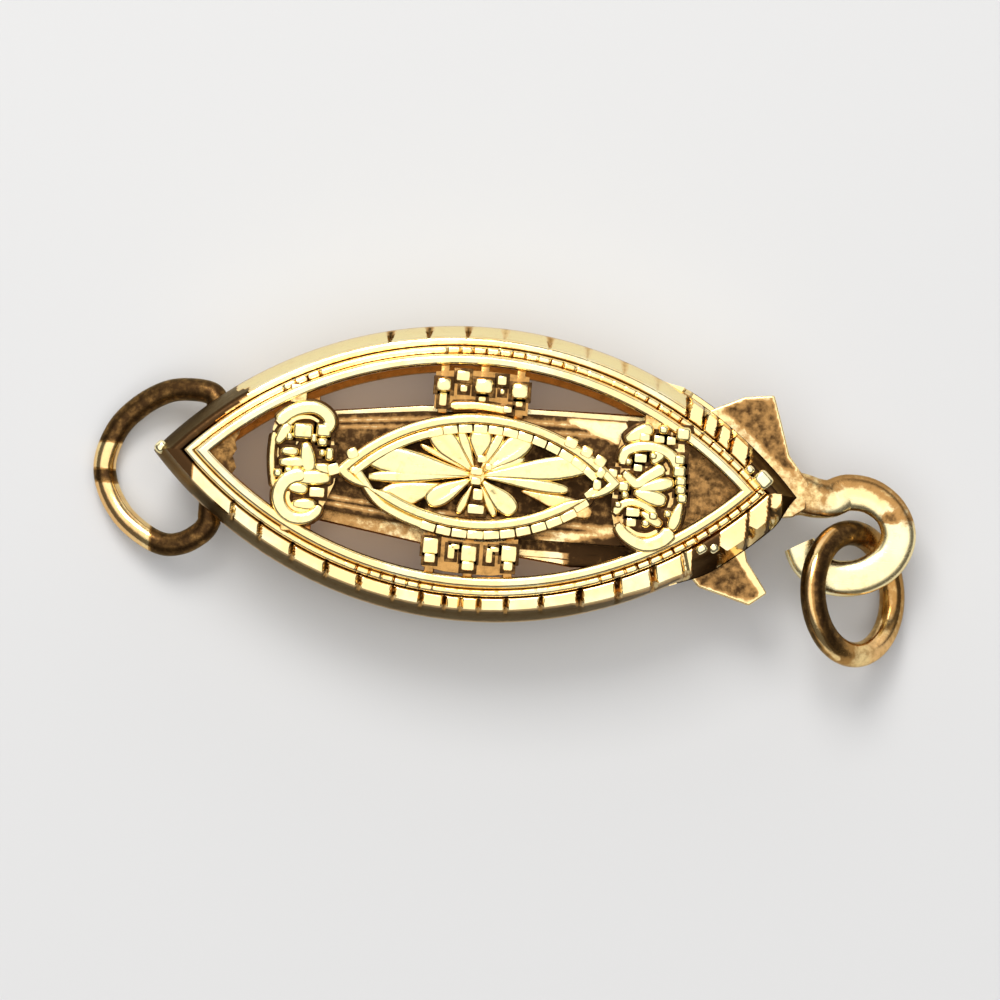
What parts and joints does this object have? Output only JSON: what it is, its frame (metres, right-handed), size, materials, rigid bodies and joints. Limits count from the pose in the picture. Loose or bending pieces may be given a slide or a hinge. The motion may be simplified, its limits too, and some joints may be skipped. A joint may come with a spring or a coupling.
{
  "type": "filigree fishhook clasp",
  "caption": "Marquise filigree fishhook necklace clasp, fastened, with a swinging wire bail at one end and a jump ring on the hook tongue's eye at the other.",
  "frame": {"origin": "middle of the housing's plain back plate, on the surface that the clasp lies on", "axes": "+X along the clasp to the hook tongue's eye, +Y across it, +Z out of the pierced front"},
  "size_m": [0.0179, 0.0068, 0.0032],
  "materials": {
    "housing_gold": "polished, pale yellow gold",
    "inner_gold": "bright, unpolished gold",
    "ring_gold": "polished, redder gold wire"
  },
  "bodies": {
    "clasp": {"front_shell": "housing_gold", "back_shell": "housing_gold", "catch_bar": "inner_gold", "hook_tongue": "housing_gold", "jump_ring": "ring_gold"},
    "bail": {"end_ring": "ring_gold"}
  },
  "joints": [
    {"name": "bail_swing", "type": "hinge", "parent": "clasp", "child": "bail", "pos_m": [-0.0057, 0, 0.001], "axis": [0, 1, 0], "range_deg": [-100, 80]}
  ]
}
